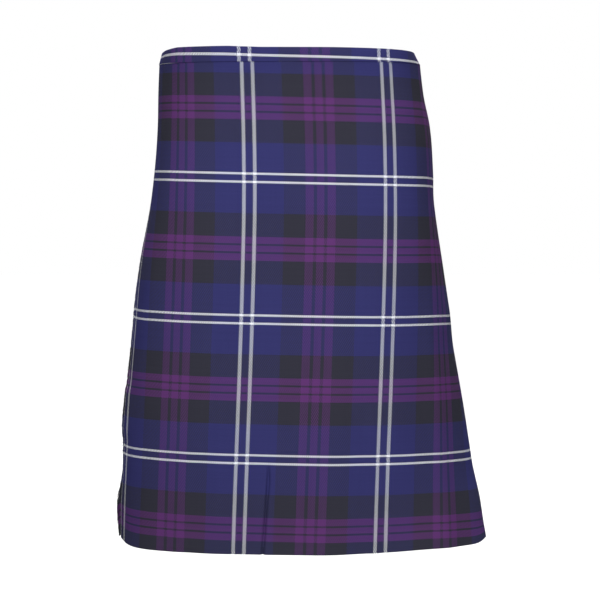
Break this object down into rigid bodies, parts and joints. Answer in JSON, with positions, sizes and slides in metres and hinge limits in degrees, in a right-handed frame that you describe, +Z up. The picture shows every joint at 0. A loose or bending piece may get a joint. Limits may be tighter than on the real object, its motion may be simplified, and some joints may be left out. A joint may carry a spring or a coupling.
{
  "type": "kilt",
  "caption": "Knee-length wrapped tartan skirt, filled out as worn: flat aprons across the front, knife pleats round the back, leather straps and buckles at the sides.",
  "frame": {"origin": "centre of the waist, level with the top of the waistband; all of the kilt hangs below it", "axes": "+Z up, out of the waist; the front apron faces -Y; +X is the wearer's left, where the over apron is folded, and its fringed edge is on the wearer's right"},
  "size_m": [0.4571, 0.3594, 0.608],
  "materials": {
    "tartan": "twill-woven tartan cloth in navy, black, purple and white",
    "waistband": "the same cloth, cut as a narrow strip",
    "fringe": "frayed yarns of the same cloth",
    "leather": "black, smooth, softly polished",
    "metal": "polished nickel plate"
  },
  "bodies": {
    "root": {"apron_over": "tartan", "back_pleats": "tartan", "apron_under": "tartan", "waistband": "waistband", "waistband_under": "waistband", "fringe": "fringe", "strap_right_waist": "leather", "tab_right_waist": "leather", "keeper_right_waist": "leather", "frame_right_waist": "metal", "prong_right_waist": "metal", "strap_right_hip": "leather", "tab_right_hip": "leather", "keeper_right_hip": "leather", "frame_right_hip": "metal", "prong_right_hip": "metal", "strap_left_waist": "leather", "tab_left_waist": "leather", "keeper_left_waist": "leather", "frame_left_waist": "metal", "prong_left_waist": "metal"}
  },
  "joints": []
}
